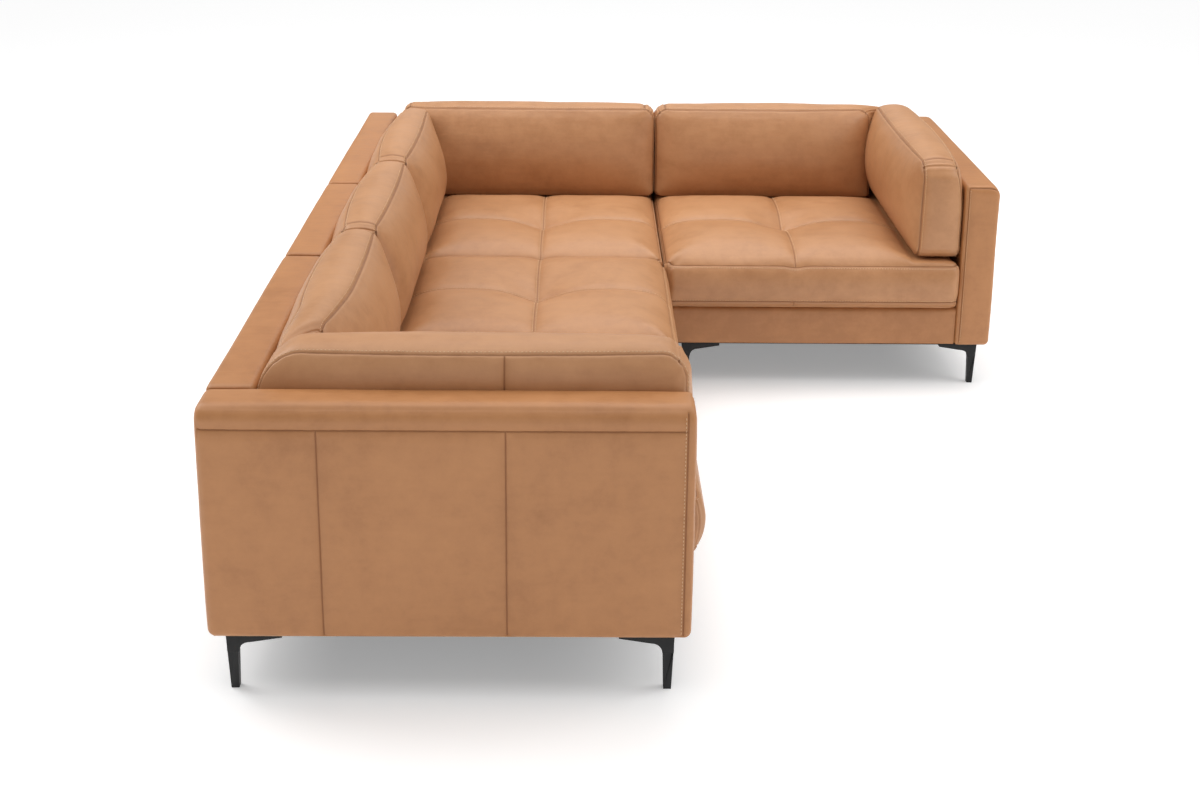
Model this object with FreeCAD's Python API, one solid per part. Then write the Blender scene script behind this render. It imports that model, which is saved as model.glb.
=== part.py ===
import FreeCAD, Part
import os

from FreeCAD import Vector

# A corner sofa of four upholstered modules, in millimetres.
# Layout frame while building: X runs along the right wing from the outer back corner of the left wing,
# Y runs along the left wing from the outer face of the left arm, Z is up from the floor.
# A module is built in its own frame: x is depth from the outer back, y is length along its wing.

# Overall plan
module_depth = 980.0
arm_module_width = 1000.0
armless_width = 710.0
seat_overhang = 20.0
joint_gap = 0.5

# Heights
leg_height = 132.5
dust_cover_thickness = 1.5
deck_height = 252.0
body_height = 637.0

# Upholstered covers: leather over thin padding
arm_thickness = 106.0
back_thickness = 100.0
apron_recess = 10.0
cover_wall = 12.0
cover_edge_radius = 14.0
cover_joint_bevel = 5.0

# Timber frame
rail_thickness = 35.0
post_width = 40.0
frame_rail_height = 40.0
corner_block_size = 80.0
corner_block_height = 40.0

# Elastic webbing, one layer each way
webbing_width = 60.0
webbing_thickness = 2.0
straps_each_way = 4

# Dust cover
dust_cover_inset = 15.0

# Seat cushions
seat_front_seam_height = 144.0
seat_flat_height = 152.0
seat_flat_depth = 190.0
seat_cross_seam_from_back = 530.0
seat_cross_seam_from_joint = 395.0
seat_front_bulge = 9.5
seat_front_seam_inset = 6.0
seat_foot_inset = 14.0

# Back cushions, in depth from the back's inner face and height above the seat
cushion_gap = 0.4
back_cushion_foot_depth = 185.0
back_cushion_seam_front = 132.0
back_cushion_seam_back = 52.0
back_cushion_height = 300.0
back_cushion_lean_height = 186.0
back_cushion_bulge = 42.0
back_cushion_crown = 12.0

# Arm cushions, in thickness from the arm's inner face and height above the seat
arm_cushion_foot_depth = 150.0
arm_cushion_foot_room = 12.0
arm_cushion_seam_front = 118.0
arm_cushion_seam_back = 28.0
arm_cushion_height = 297.0
arm_cushion_lean_height = 186.0
arm_cushion_bulge = 50.0
arm_cushion_crown = 9.0
arm_cushion_front_gap = 12.0

# Cast legs with two bracket wings, and their hanger bolts
leg_outer_inset = 31.0
leg_joint_inset = 63.0
leg_head_width = 25.0
leg_foot_width = 16.5
leg_outer_taper = 5.0
wing_length = 115.0
wing_width = 22.0
wing_side_inset = 1.0
wing_tip_thickness = 14.0
wing_root_thickness = 25.0
wing_fillet_radius = 22.0
bolt_radius = 4.0
bolt_in_leg = 24.0
bolt_in_rail = 30.0

# Steel plates that lock the modules together
plate_thickness = 3.0
plate_width = 60.0
plate_length = 60.0
hook_drop = 17.0
hook_reach = 30.0
tongue_height = 16.0
tongue_width = 30.0
tongue_clearance = 1.0
loop_start = 15.0
loop_end = 45.0
loop_drop = 10.0
plate_from_back = 250.0
plate_from_front = 230.0

# Sizes that follow from those above
corner_width = module_depth + seat_overhang
underside = leg_height + dust_cover_thickness
left_joint_y = arm_module_width
corner_joint_y = arm_module_width + armless_width
overall_y = corner_joint_y + module_depth
overall_x = corner_width + arm_module_width
half_gap = joint_gap / 2
base_front = module_depth - apron_recess
seat_top_flat = deck_height + seat_flat_height
seat_back = back_thickness + cushion_gap
seat_cross_seam = back_thickness + seat_cross_seam_from_back
seat_flat_end = back_thickness + seat_flat_depth
deck_under = deck_height - cover_wall
webbing_base = deck_under - 2 * webbing_thickness
plate_places = (plate_from_back, module_depth - plate_from_front)

MODULES = {
    "left": {"width": arm_module_width, "arm_end": "low"},
    "middle": {"width": armless_width, "arm_end": None},
    "corner": {"width": module_depth, "arm_end": None},
    "right": {"width": arm_module_width, "arm_end": "high"},
}


def place(shape, module):
    """Move a shape from its module's own frame to the part's frame."""
    placed = shape.copy()
    if module == "right":
        placed.rotate(Vector(0, 0, 0), Vector(0, 0, 1), -90)
        placed.translate(Vector(corner_width, overall_y, 0))
    elif module == "middle":
        placed.translate(Vector(0, left_joint_y, 0))
    elif module == "corner":
        placed.translate(Vector(0, corner_joint_y, 0))
    placed.translate(Vector(-overall_x / 2, -overall_y / 2, 0))
    return placed


def save(node, shape, module):
    place(shape, module).exportStep("parts/" + node + ".step")


def slab(x, y, z):
    """A block between the two values of each pair."""
    return Part.makeBox(x[1] - x[0], y[1] - y[0], z[1] - z[0], Vector(x[0], y[0], z[0]))


def middle_of(edge):
    return edge.valueAt((edge.FirstParameter + edge.LastParameter) / 2)


def edges_at(shape, axis, value):
    """The edges that lie in one plane across an axis."""
    found = []
    for edge in shape.Edges:
        points = [v.Point for v in edge.Vertexes] + [middle_of(edge)]
        if all(abs(point[axis] - value) < 1e-6 for point in points):
            found.append(edge)
    return found


def upholstered_bar(x, y, z, round_edges, joints):
    """A padded cover, hollow and open below.

    Its round edges are given by the two planes that they lie in, and its joint ends, which meet
    a neighbouring cover, by their one plane. A plane is an axis and a value.
    """
    bar = slab(x, y, z)
    chosen = []
    for first, second in round_edges:
        in_second = [edge.hashCode() for edge in edges_at(bar, *second)]
        chosen += [edge for edge in edges_at(bar, *first) if edge.hashCode() in in_second]
    bar = bar.makeFillet(cover_edge_radius, chosen)
    for plane in joints:
        bar = bar.makeChamfer(cover_joint_bevel, edges_at(bar, *plane))
    return bar.cut(slab(*cavity(x, y, z)))


def cavity(x, y, z):
    """The room for the frame inside a cover."""
    inner_x = (x[0] + cover_wall, x[1] - cover_wall)
    inner_y = (y[0] + cover_wall, y[1] - cover_wall)
    return inner_x, inner_y, (z[0], z[1] - cover_wall)


def wall_frame(x, y, z, axis):
    """Timber inside an arm or a back: a top rail, a bottom rail and three posts."""
    inner_x, inner_y, inner_z = cavity(x, y, z)
    low = (inner_z[0], inner_z[0] + frame_rail_height)
    high = (inner_z[1] - frame_rail_height, inner_z[1])
    timbers = [slab(inner_x, inner_y, low), slab(inner_x, inner_y, high)]
    run = (inner_x, inner_y)[axis]
    last = run[1] - post_width
    for start in (run[0], (run[0] + last) / 2, last):
        post = (start, start + post_width)
        if axis == 0:
            timbers.append(slab(post, inner_y, (low[1], high[0])))
        else:
            timbers.append(slab(inner_x, post, (low[1], high[0])))
    return timbers


def base_frame(x, y, z):
    """Timber inside a base: four rails, a cross rail and a block in each corner."""
    inner_x, inner_y, inner_z = cavity(x, y, z)
    height = (inner_z[0], webbing_base)
    side_x = (inner_x[0] + rail_thickness, inner_x[1] - rail_thickness)
    side_y = (inner_y[0] + rail_thickness, inner_y[1] - rail_thickness)
    centre = (side_y[0] + side_y[1]) / 2
    timbers = [
        slab((inner_x[0], side_x[0]), inner_y, height),
        slab((side_x[1], inner_x[1]), inner_y, height),
        slab(side_x, (inner_y[0], side_y[0]), height),
        slab(side_x, (side_y[1], inner_y[1]), height),
        slab(side_x, (centre - rail_thickness / 2, centre + rail_thickness / 2), height),
    ]
    block_height = (inner_z[0], inner_z[0] + corner_block_height)
    size = corner_block_size
    blocks_x = ((side_x[0], side_x[0] + size), (side_x[1] - size, side_x[1]))
    blocks_y = ((side_y[0], side_y[0] + size), (side_y[1] - size, side_y[1]))
    timbers += [slab(block_x, block_y, block_height) for block_x in blocks_x for block_y in blocks_y]
    return timbers


def webbing(x, y, z):
    """Crossed elastic straps on the base rails, the second layer lying on the first."""
    inner_x, inner_y, _ = cavity(x, y, z)
    layers = (webbing_base, webbing_base + webbing_thickness, webbing_base + 2 * webbing_thickness)
    straps = []
    for number in range(straps_each_way):
        share = (number + 1) / (straps_each_way + 1)
        across = inner_x[0] + share * (inner_x[1] - inner_x[0]) - webbing_width / 2
        along = inner_y[0] + share * (inner_y[1] - inner_y[0]) - webbing_width / 2
        straps.append(slab((across, across + webbing_width), inner_y, layers[0:2]))
        straps.append(slab(inner_x, (along, along + webbing_width), layers[1:3]))
    return straps


def closed_wire(points, bulges):
    """A closed outline: a side with a bulge is an arc that stands out to its right by that much."""
    edges = []
    for number, start in enumerate(points):
        end = points[(number + 1) % len(points)]
        bulge = bulges[number]
        if bulge == 0:
            edges.append(Part.LineSegment(start, end).toShape())
            continue
        run = end - start
        if abs(run.y) < 1e-9:
            outward = Vector(run.z, 0, -run.x)
        else:
            outward = Vector(0, run.z, -run.y)
        outward.normalize()
        top = (start + end) * 0.5 + outward * bulge
        edges.append(Part.Arc(start, top, end).toShape())
    return Part.Wire(edges)


def seat_section(y, front, hump, seam_height):
    """The seat cushion's outline across its depth, with two humps and the seam between them."""
    points = [
        Vector(seat_back, y, deck_height),
        Vector(front - seat_foot_inset, y, deck_height),
        Vector(front - seat_front_seam_inset, y, deck_height + seat_front_seam_height),
        Vector(seat_cross_seam, y, deck_height + seam_height),
        Vector(seat_flat_end, y, seat_top_flat),
        Vector(seat_back, y, seat_top_flat),
    ]
    return closed_wire(points, [0, seat_front_bulge, hump, hump, 0, 0])


def flat_seat_section(y, front):
    """The seat cushion's outline where an arm or rear cushion presses it flat."""
    points = [
        Vector(seat_back, y, deck_height),
        Vector(front - seat_foot_inset, y, deck_height),
        Vector(front - seat_front_seam_inset, y, deck_height + seat_front_seam_height),
        Vector(front - seat_front_seam_inset - seat_foot_inset, y, seat_top_flat),
        Vector(seat_back, y, seat_top_flat),
    ]
    return closed_wire(points, [0, seat_front_bulge, 0, 0, 0])


# Stations of half a seat cushion, from its outer edge to the cross seam:
# share of the run, hump of the top, height of the seam along the wing, draw-in of the front
seat_stations = (
    (0.0, 10.0, 147.0, 2.0),
    (0.14, 22.0, 151.0, 0.5),
    (0.8, 22.0, 151.0, 0.5),
    (1.0, 12.0, 138.0, 4.0),
)


def seat_cushion(start, end, seam, front, flat_start, flat_end):
    """A boxed seat cushion with four crowned quarters, pressed flat under its neighbours."""
    stations = [(start + share * (seam - start), *rest) for share, *rest in seat_stations]
    stations += [(end + share * (seam - end), *rest) for share, *rest in seat_stations[-2::-1]]
    wires = [
        seat_section(y, front - draw_in, hump, seam_height)
        for y, hump, seam_height, draw_in in stations
    ]
    cushion = Part.makeLoft(wires, True, True)
    draw_in = seat_stations[0][-1]
    for strip in ((flat_start, start), (end, flat_end)):
        if strip[1] - strip[0] > cushion_gap:
            ends = [flat_seat_section(y, front - draw_in) for y in strip]
            cushion = cushion.fuse(Part.makeLoft(ends, True, True))
    return cushion


# Stations of one end of an upright cushion, up to its full middle stretch:
# distance from the end, drop of the top, share of the bulge, draw-in of the panel
cushion_stations = (
    (0.0, 28.0, 0.5, 22.0),
    (14.0, 10.0, 0.78, 8.0),
    (42.0, 0.0, 1.0, 0.0),
)
# The end of an arm cushion that rests on the back rail is rounded more softly
soft_end_stations = (
    (0.0, 60.0, 0.5, 22.0),
    (22.0, 24.0, 0.78, 8.0),
    (64.0, 0.0, 1.0, 0.0),
)


def upright_section(place_at, foot, seam_front, seam_back, height, lean, bulge, crown, drop, share, draw_in):
    """The outline of a back or arm cushion: flat foot and back, full front panel, crowned boxing."""
    points = [
        place_at(cushion_gap, seat_top_flat + cushion_gap),
        place_at(foot - draw_in, seat_top_flat + cushion_gap),
        place_at(seam_front - draw_in / 2, deck_height + seat_flat_height + height - drop),
        place_at(seam_back, deck_height + seat_flat_height + height - drop),
        place_at(cushion_gap, deck_height + seat_flat_height + lean - drop),
    ]
    return closed_wire(points, [0, bulge * share, crown * share, 0, 0])


def station_places(start, end, first, last):
    """Stations from both ends of an upright cushion to its full middle stretch."""
    places = [(start + run, *rest) for run, *rest in first]
    places += [(end - run, *rest) for run, *rest in last[::-1]]
    return places


def back_cushion(start, end):
    """A back cushion along y, standing on the seat against the back's inner face."""
    wires = []
    for y, drop, share, draw_in in station_places(start, end, cushion_stations, cushion_stations):
        wires.append(
            upright_section(
                lambda depth, height: Vector(back_thickness + depth, y, height),
                back_cushion_foot_depth,
                back_cushion_seam_front,
                back_cushion_seam_back,
                back_cushion_height,
                back_cushion_lean_height,
                back_cushion_bulge,
                back_cushion_crown,
                drop,
                share,
                draw_in,
            )
        )
    return Part.makeLoft(wires, True, True)


def rear_back_cushion(start, end, rear):
    """A back cushion along x, against the inner face of a back that closes the module at y = rear."""
    cushion = back_cushion(start, end)
    cushion.rotate(Vector(0, 0, 0), Vector(0, 0, 1), -90)
    cushion.translate(Vector(0, rear, 0))
    return cushion


def arm_cushion(arm_face, inward):
    """An arm cushion along x, from the back's inner face to just behind the arm's front."""
    wires = []
    start = back_thickness + cushion_gap
    end = module_depth - arm_cushion_front_gap
    for x, drop, share, draw_in in station_places(start, end, soft_end_stations, cushion_stations):
        wires.append(
            upright_section(
                lambda depth, height: Vector(x, arm_face + inward * depth, height),
                arm_cushion_foot_depth,
                arm_cushion_seam_front,
                arm_cushion_seam_back,
                arm_cushion_height,
                arm_cushion_lean_height,
                inward * arm_cushion_bulge,
                inward * arm_cushion_crown,
                drop,
                share,
                draw_in,
            )
        )
    return Part.makeLoft(wires, True, True)


def wing_outline(top):
    """The side view of one bracket wing, with its sloping underside and its fillet into the post."""
    root = leg_head_width + wing_fillet_radius
    fillet_base = top - wing_root_thickness - wing_fillet_radius
    diagonal = wing_fillet_radius * 0.5 ** 0.5
    start = Vector(leg_head_width, 0, fillet_base)
    middle = Vector(root - diagonal, 0, fillet_base + diagonal)
    end = Vector(root, 0, top - wing_root_thickness)
    straight = [
        end,
        Vector(wing_length, 0, top - wing_tip_thickness),
        Vector(wing_length, 0, top),
        Vector(leg_outer_taper / 2, 0, top),
        Vector(leg_outer_taper / 2, 0, fillet_base),
        start,
    ]
    edges = [Part.LineSegment(a, b).toShape() for a, b in zip(straight, straight[1:])]
    edges.append(Part.Arc(start, middle, end).toShape())
    return Part.Face(Part.Wire(edges))


def tapered_post(foot, head, height):
    """A square post between two corner values at the foot and two at the head."""
    def square(pair, z):
        low, high = pair
        return [Vector(low, low, z), Vector(high, low, z), Vector(high, high, z), Vector(low, high, z)]

    bottom = square(foot, 0)
    top = square(head, height)
    rings = [bottom, top]
    for number in range(4):
        after = (number + 1) % 4
        rings.append([bottom[number], bottom[after], top[after], top[number]])
    faces = [Part.Face(Part.makePolygon(ring + ring[:1])) for ring in rings]
    return Part.Solid(Part.Shell(faces))


def leg():
    """One cast leg, its outer corner at the origin and its wings along +x and +y."""
    foot = (leg_outer_taper, leg_outer_taper + leg_foot_width)
    post = tapered_post(foot, (0, leg_head_width), leg_height)
    wing = wing_outline(leg_height).extrude(Vector(0, wing_width, 0))
    wing.translate(Vector(0, wing_side_inset, 0))
    other = wing.mirror(Vector(0, 0, 0), Vector(1, -1, 0))
    return post.fuse([wing, other]).removeSplitter()


def leg_bolt():
    """The hanger bolt of a leg: half in the leg, half in the timber above it."""
    middle = leg_head_width / 2
    length = bolt_in_leg + dust_cover_thickness + bolt_in_rail
    return Part.makeCylinder(bolt_radius, length, Vector(middle, middle, leg_height - bolt_in_leg))


def set_at_corner(shape, x, y, along_x, along_y):
    """Put a leg's piece at a corner of its module, with its wings pointing inwards."""
    turned = shape.copy()
    if along_x * along_y < 0:
        turned = turned.mirror(Vector(0, 0, 0), Vector(1, -1, 0))
    angle = {(1, 1): 0, (-1, 1): 90, (-1, -1): 180, (1, -1): -90}[(along_x, along_y)]
    turned.rotate(Vector(0, 0, 0), Vector(0, 0, 1), angle)
    turned.translate(Vector(x, y, 0))
    return turned


def leg_corners(module):
    """Name, place and wing directions of a module's four legs."""
    width = MODULES[module]["width"]
    arm_end = MODULES[module]["arm_end"]
    low_inset = leg_outer_inset if arm_end == "low" else leg_joint_inset
    high_inset = leg_outer_inset if arm_end == "high" or module == "corner" else leg_joint_inset
    front = corner_width - leg_joint_inset if module == "corner" else module_depth - leg_outer_inset
    for side_x, x, along_x in (("back", leg_outer_inset, 1), ("front", front, -1)):
        for number, y, along_y in (("1", low_inset, 1), ("2", width - high_inset, -1)):
            yield side_x + "_" + number, x, y, along_x, along_y


def bent_strip(outline, width):
    """A strip of plate: its thickness follows an outline in x and z, and its width lies across y."""
    points = [Vector(x, -width / 2, z) for x, z in outline]
    face = Part.Face(Part.makePolygon(points + points[:1]))
    return face.extrude(Vector(0, width, 0))


def hook_plate():
    """The plate under the fixed module: it reaches under the joint and ends in an upright tongue."""
    top = leg_height
    low = top - hook_drop
    body = bent_strip(
        [
            (-plate_length, top),
            (0, top),
            (0, low),
            (hook_reach, low),
            (hook_reach, low - plate_thickness),
            (-plate_thickness, low - plate_thickness),
            (-plate_thickness, top - plate_thickness),
            (-plate_length, top - plate_thickness),
        ],
        plate_width,
    )
    tongue = slab(
        (hook_reach - plate_thickness, hook_reach),
        (-tongue_width / 2, tongue_width / 2),
        (low, low + tongue_height),
    )
    return body.fuse(tongue).removeSplitter()


def loop_plate():
    """The plate under the module that lifts off: a hat shape whose slot drops over the tongue."""
    top = leg_height
    low = top - loop_drop
    start = plate_thickness + joint_gap
    outline = [
        (start, top),
        (loop_start + plate_thickness, top),
        (loop_start + plate_thickness, low),
        (loop_end - plate_thickness, low),
        (loop_end - plate_thickness, top),
        (loop_end + plate_length / 2, top),
        (loop_end + plate_length / 2, top - plate_thickness),
        (loop_end, top - plate_thickness),
        (loop_end, low - plate_thickness),
        (loop_start, low - plate_thickness),
        (loop_start, top - plate_thickness),
        (start, top - plate_thickness),
    ]
    slot = slab(
        (hook_reach - plate_thickness - tongue_clearance, hook_reach + tongue_clearance),
        (-tongue_width / 2 - tongue_clearance, tongue_width / 2 + tongue_clearance),
        (low - 2 * plate_thickness, low + plate_thickness),
    )
    return bent_strip(outline, plate_width).cut(slot)


def plates_at_joint(shape, joint):
    """Two plates at a joint between modules, in the frame of the whole sofa."""
    group = []
    for place_along in plate_places:
        plate = shape.copy()
        if joint == "right":
            plate.translate(Vector(corner_width, overall_y - place_along, 0))
        else:
            plate.rotate(Vector(0, 0, 0), Vector(0, 0, 1), -90)
            joint_y = left_joint_y if joint == "left" else corner_joint_y
            plate.translate(Vector(place_along, joint_y, 0))
        group.append(plate)
    return Part.makeCompound(group)


def module_walls(module):
    """Each upholstered wall of a module: name, extents, axis, round edges and joint ends."""
    width = MODULES[module]["width"]
    arm_end = MODULES[module]["arm_end"]
    wall_z = (underside, body_height)
    top = (2, body_height)
    low = arm_thickness if arm_end == "low" else half_gap
    high = width - arm_thickness if arm_end == "high" else width - half_gap
    back_x = (0, back_thickness)
    back_edges = [(top, (0, 0)), (top, (0, back_thickness))]
    if module == "corner":
        outer_end = [(top, (1, width)), ((0, 0), (1, width))]
        yield "left_back", back_x, (low, width), wall_z, 1, back_edges + outer_end, [(1, low)]
        rear_x = (back_thickness, corner_width - half_gap)
        rear_y = (width - back_thickness, width)
        rear_edges = [(top, (1, rear_y[0])), (top, (1, rear_y[1]))]
        yield "rear_back", rear_x, rear_y, wall_z, 0, rear_edges, [(0, rear_x[0]), (0, rear_x[1])]
    else:
        yield "back", back_x, (low, high), wall_z, 1, back_edges, [(1, low), (1, high)]
    if arm_end:
        outer = 0 if arm_end == "low" else width
        inner = arm_thickness if arm_end == "low" else width - arm_thickness
        arm_y = (min(outer, inner), max(outer, inner))
        rim = [(top, (1, outer)), (top, (1, inner)), (top, (0, 0)), (top, (0, module_depth))]
        corners = [((0, 0), (1, outer)), ((0, module_depth), (1, outer)), ((0, module_depth), (1, inner))]
        yield "arm", (0, module_depth), arm_y, wall_z, 0, rim + corners, []


def base_extents(module):
    """The base between the walls of a module."""
    width = MODULES[module]["width"]
    arm_end = MODULES[module]["arm_end"]
    low = arm_thickness if arm_end == "low" else half_gap
    high = width - arm_thickness if arm_end == "high" else width - half_gap
    if module == "corner":
        high = width - back_thickness
    front = corner_width - half_gap if module == "corner" else base_front
    return (back_thickness, front), (low, high), (underside, deck_height)


def build_body(module):
    """Covers, frame, webbing and dust cover of one module."""
    timbers = []
    for name, x, y, z, axis, round_edges, joints in module_walls(module):
        save(module + "_" + name + "_cover", upholstered_bar(x, y, z, round_edges, joints), module)
        timbers += wall_frame(x, y, z, axis)
    base = base_extents(module)
    front_edge = ((0, base[0][1]), (2, deck_height))
    joints = [(1, base[1][0]), (1, base[1][1])]
    save(module + "_base_cover", upholstered_bar(*base, [front_edge], joints), module)
    timbers += base_frame(*base)
    save(module + "_frame", Part.makeCompound(timbers), module)
    save(module + "_webbing", Part.makeCompound(webbing(*base)), module)
    width = MODULES[module]["width"]
    depth = corner_width if module == "corner" else module_depth
    cloth = slab(
        (dust_cover_inset, depth - dust_cover_inset),
        (dust_cover_inset, width - dust_cover_inset),
        (leg_height, underside),
    )
    save(module + "_dust_cover", cloth, module)


def build_legs(module):
    """Four legs of a module, one node each, and their bolts as one group."""
    bolts = []
    for name, x, y, along_x, along_y in leg_corners(module):
        save(module + "_leg_" + name, set_at_corner(leg(), x, y, along_x, along_y), module)
        bolts.append(set_at_corner(leg_bolt(), x, y, along_x, along_y))
    save(module + "_leg_bolts", Part.makeCompound(bolts), module)


def build_cushions(module):
    """Seat, back and arm cushions of one module."""
    width = MODULES[module]["width"]
    arm_end = MODULES[module]["arm_end"]
    front = corner_width - half_gap
    if module == "corner":
        front -= seat_stations[1][-1]
    low = half_gap
    high = width - half_gap
    seat_low = low
    seat_high = high
    pressed = arm_thickness + arm_cushion_foot_depth + arm_cushion_foot_room
    seam = {
        "left": width - seat_cross_seam_from_joint,
        "middle": width / 2,
        "corner": width - seat_cross_seam,
        "right": seat_cross_seam_from_joint,
    }[module]
    if arm_end == "low":
        cushion = arm_cushion(arm_thickness, 1)
        save(module + "_arm_cushion", cushion, module)
        seat_low = arm_thickness + cushion_gap
        low = cushion.BoundBox.YMax + cushion_gap
        puffed = (pressed, seat_high)
    elif arm_end == "high":
        cushion = arm_cushion(width - arm_thickness, -1)
        save(module + "_arm_cushion", cushion, module)
        seat_high = width - arm_thickness - cushion_gap
        high = cushion.BoundBox.YMin - cushion_gap
        puffed = (seat_low, width - pressed)
    elif module == "corner":
        rear = rear_back_cushion(back_thickness + cushion_gap, corner_width - half_gap, width)
        save("corner_rear_back_cushion", rear, module)
        seat_high = width - back_thickness - cushion_gap
        high = rear.BoundBox.YMin - cushion_gap
        puffed = (seat_low, width - seat_flat_end)
    else:
        puffed = (seat_low, seat_high)
    seat = seat_cushion(*puffed, seam, front, seat_low, seat_high)
    save(module + "_seat_cushion", seat, module)
    name = "corner_left_back_cushion" if module == "corner" else module + "_back_cushion"
    save(name, back_cushion(low, high), module)


def main():
    os.makedirs("parts", exist_ok=True)
    for module in MODULES:
        build_body(module)
        build_legs(module)
        build_cushions(module)
    for joint in ("left", "middle", "right"):
        save(joint + "_joint_hooks", plates_at_joint(hook_plate(), joint), None)
        save(joint + "_joint_loops", plates_at_joint(loop_plate(), joint), None)


main()
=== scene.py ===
import math

import bmesh
import bpy
import numpy as np
from mathutils import Matrix, Vector


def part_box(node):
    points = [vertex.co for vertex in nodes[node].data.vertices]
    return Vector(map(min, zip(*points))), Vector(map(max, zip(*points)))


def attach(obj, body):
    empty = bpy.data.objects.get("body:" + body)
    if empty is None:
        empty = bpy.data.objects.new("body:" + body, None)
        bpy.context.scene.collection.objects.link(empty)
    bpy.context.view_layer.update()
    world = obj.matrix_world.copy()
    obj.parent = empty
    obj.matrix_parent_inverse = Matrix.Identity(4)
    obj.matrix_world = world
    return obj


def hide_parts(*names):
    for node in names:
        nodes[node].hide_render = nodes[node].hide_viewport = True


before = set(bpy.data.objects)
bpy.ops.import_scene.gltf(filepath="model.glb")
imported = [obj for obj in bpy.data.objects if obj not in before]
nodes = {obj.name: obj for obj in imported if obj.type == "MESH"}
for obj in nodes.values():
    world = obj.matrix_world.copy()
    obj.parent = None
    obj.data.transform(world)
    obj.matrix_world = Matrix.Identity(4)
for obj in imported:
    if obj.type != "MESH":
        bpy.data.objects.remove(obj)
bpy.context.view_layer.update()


def addObject(name, data):
    made = bpy.data.objects.new(name, data)
    bpy.context.scene.collection.objects.link(made)
    return made


# Camera, fitted to the straight edges of the sofa in the photograph
cameraValues = {
    "outerCorner": (-1.0, -1.345, 0.0),   # outer back corner of the near arm, on the floor
    "place": (0.752, -2.903, 1.859),      # metres from that corner
    "pitchDown": 16.11,
    "yaw": -0.69,
    "roll": 0.56,
    "pictureWidth": 1200,
    "focalLength": 1613.0,                # in pixels of that picture
    "sensorWidth": 36,
    "shift": -0.15,
}


def addCamera(values):
    data = bpy.data.cameras.new("camera")
    data.sensor_width = values["sensorWidth"]
    data.lens = values["focalLength"] / values["pictureWidth"] * values["sensorWidth"]
    data.shift_y = values["shift"]
    data.clip_end = 60
    camera = addObject("camera", data)
    yaw = Matrix.Rotation(math.radians(values["yaw"]), 4, "Z")
    pitch = Matrix.Rotation(math.radians(90 - values["pitchDown"]), 4, "X")
    roll = Matrix.Rotation(math.radians(values["roll"]), 4, "Z")
    place = Vector(values["outerCorner"]) + Vector(values["place"])
    camera.matrix_world = Matrix.Translation(place) @ yaw @ pitch @ roll
    bpy.context.scene.camera = camera


addCamera(cameraValues)
bpy.context.scene.view_settings.view_transform = "Standard"


# Shader maths: a wrapped socket that understands + - and * on either side
class Wire:
    def __init__(self, tree, socket):
        self.tree = tree
        self.socket = socket

    def maths(self, operation, other, flipped=False):
        node = self.tree.nodes.new("ShaderNodeMath")
        node.operation = operation
        pair = (other, self) if flipped else (self, other)
        for slot, value in zip(node.inputs, pair):
            if isinstance(value, Wire):
                self.tree.links.new(value.socket, slot)
            else:
                slot.default_value = value
        return Wire(self.tree, node.outputs[0])

    def __add__(self, other):
        return self.maths("ADD", other)

    def __radd__(self, other):
        return self.maths("ADD", other, True)

    def __sub__(self, other):
        return self.maths("SUBTRACT", other)

    def __rsub__(self, other):
        return self.maths("SUBTRACT", other, True)

    def __mul__(self, other):
        return self.maths("MULTIPLY", other)

    def __rmul__(self, other):
        return self.maths("MULTIPLY", other, True)


class Finish:
    def __init__(self, name):
        self.material = bpy.data.materials.new(name)
        self.material.use_nodes = True
        self.tree = self.material.node_tree
        self.shader = self.tree.nodes["Principled BSDF"]

    def node(self, kind, settings=None, output=0, **values):
        made = self.tree.nodes.new(kind)
        for key, value in (settings or {}).items():
            setattr(made, key, value)
        for key, value in values.items():
            slot = made.inputs[key.replace("_", " ")]
            if isinstance(value, Wire):
                self.tree.links.new(value.socket, slot)
            else:
                slot.default_value = value
        return Wire(self.tree, made.outputs[output])

    def attribute(self, name):
        return self.node("ShaderNodeAttribute", {"attribute_name": name}, "Fac")

    def place(self):
        return self.node("ShaderNodeTexCoord", None, "Object")

    def ramp(self, wire, stops):
        made = self.tree.nodes.new("ShaderNodeValToRGB")
        elements = made.color_ramp.elements
        while len(elements) < len(stops):
            elements.new(0.5)
        for element, (position, colour) in zip(elements, stops):
            element.position = position
            element.color = (*colour, 1) if len(colour) == 3 else colour
        self.tree.links.new(wire.socket, made.inputs[0])
        return Wire(self.tree, made.outputs[0])

    def mix(self, factor, first, second, blend="MIX"):
        made = self.tree.nodes.new("ShaderNodeMix")
        made.data_type = "RGBA"
        made.blend_type = blend
        made.clamp_factor = True
        for slot, value in ((made.inputs[0], factor), (made.inputs[6], first), (made.inputs[7], second)):
            if isinstance(value, Wire):
                self.tree.links.new(value.socket, slot)
            elif slot is made.inputs[0]:
                slot.default_value = value
            else:
                slot.default_value = (*value, 1)
        return Wire(self.tree, made.outputs[2])

    def feed(self, name, value):
        slot = self.shader.inputs[name]
        if isinstance(value, Wire):
            self.tree.links.new(value.socket, slot)
        else:
            slot.default_value = value


def scaled(colour, shares):
    return tuple(min(1.0, channel * share) for channel, share in zip(colour, shares))


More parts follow.
